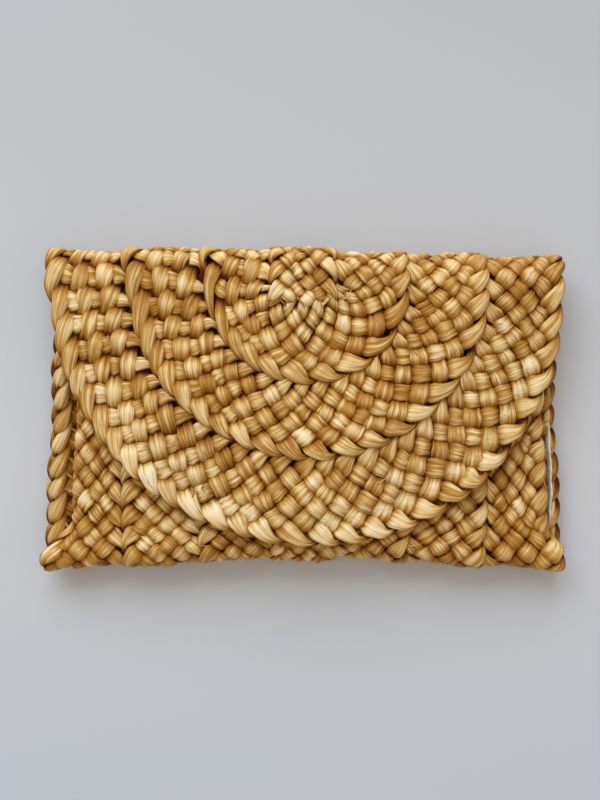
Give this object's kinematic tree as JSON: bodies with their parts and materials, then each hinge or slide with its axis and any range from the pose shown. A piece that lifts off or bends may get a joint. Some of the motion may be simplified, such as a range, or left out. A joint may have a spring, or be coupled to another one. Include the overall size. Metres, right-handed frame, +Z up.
{
  "type": "straw envelope clutch purse",
  "caption": "Envelope clutch purse of wide straw plaits, with a half-round flap that opens over the top fold.",
  "frame": {"origin": "under the middle of the closed bag, on the surface that its back lies on", "axes": "+X across the front to the right, +Y from the bottom fold to the top fold, +Z up out of the front panel and the flap"},
  "size_m": [0.29, 0.18, 0.0325],
  "materials": {
    "straw_plait": "satin",
    "lining_cotton": "matte",
    "snap_metal": "polished",
    "magnet_ferrite": "matte"
  },
  "bodies": {
    "pouch": {"back_plait_1": "straw_plait", "back_plait_2": "straw_plait", "back_plait_3": "straw_plait", "back_plait_4": "straw_plait", "back_plait_5": "straw_plait", "back_plait_6": "straw_plait", "back_plait_7": "straw_plait", "bottom_fold_plait_1": "straw_plait", "bottom_fold_plait_2": "straw_plait", "bottom_fold_plait_3": "straw_plait", "bottom_fold_plait_4": "straw_plait", "bottom_fold_plait_5": "straw_plait", "bottom_fold_plait_6": "straw_plait", "bottom_fold_plait_7": "straw_plait", "front_plait_1": "straw_plait", "front_plait_2": "straw_plait", "front_plait_3": "straw_plait", "front_plait_4": "straw_plait", "front_plait_5": "straw_plait", "front_plait_6": "straw_plait", "front_plait_7": "straw_plait", "lining_back": "lining_cotton", "lining_bottom_fold": "lining_cotton", "lining_front": "lining_cotton", "lining_side_left": "lining_cotton", "lining_side_right": "lining_cotton", "slip_pocket": "lining_cotton", "snap_socket_cap": "snap_metal", "snap_socket_plate": "snap_metal", "snap_socket_washer": "snap_metal", "snap_magnet": "magnet_ferrite"},
    "top_fold": {"top_fold_plait_1": "straw_plait", "top_fold_plait_2": "straw_plait", "top_fold_plait_3": "straw_plait", "top_fold_plait_4": "straw_plait", "top_fold_plait_5": "straw_plait", "top_fold_plait_6": "straw_plait", "top_fold_plait_7": "straw_plait", "lining_top_fold": "lining_cotton"},
    "flap": {"flap_plait_outer": "straw_plait", "flap_plait_middle": "straw_plait", "flap_plait_inner": "straw_plait", "flap_plait_centre": "straw_plait", "lining_flap": "lining_cotton", "snap_stud": "snap_metal", "snap_stud_washer": "snap_metal"}
  },
  "joints": [
    {"name": "fold_open", "type": "hinge", "parent": "pouch", "child": "top_fold", "pos_m": [0, 0.08463, 0.00537], "axis": [-1, 0, 0], "range_deg": [0, 90]},
    {"name": "flap_open", "type": "hinge", "parent": "top_fold", "child": "flap", "pos_m": [0, 0.08463, 0.02713], "axis": [-1, 0, 0], "range_deg": [0, 90]}
  ],
  "couplings": [
    {"joint": "flap_open", "follows": "fold_open", "ratio": 1}
  ]
}
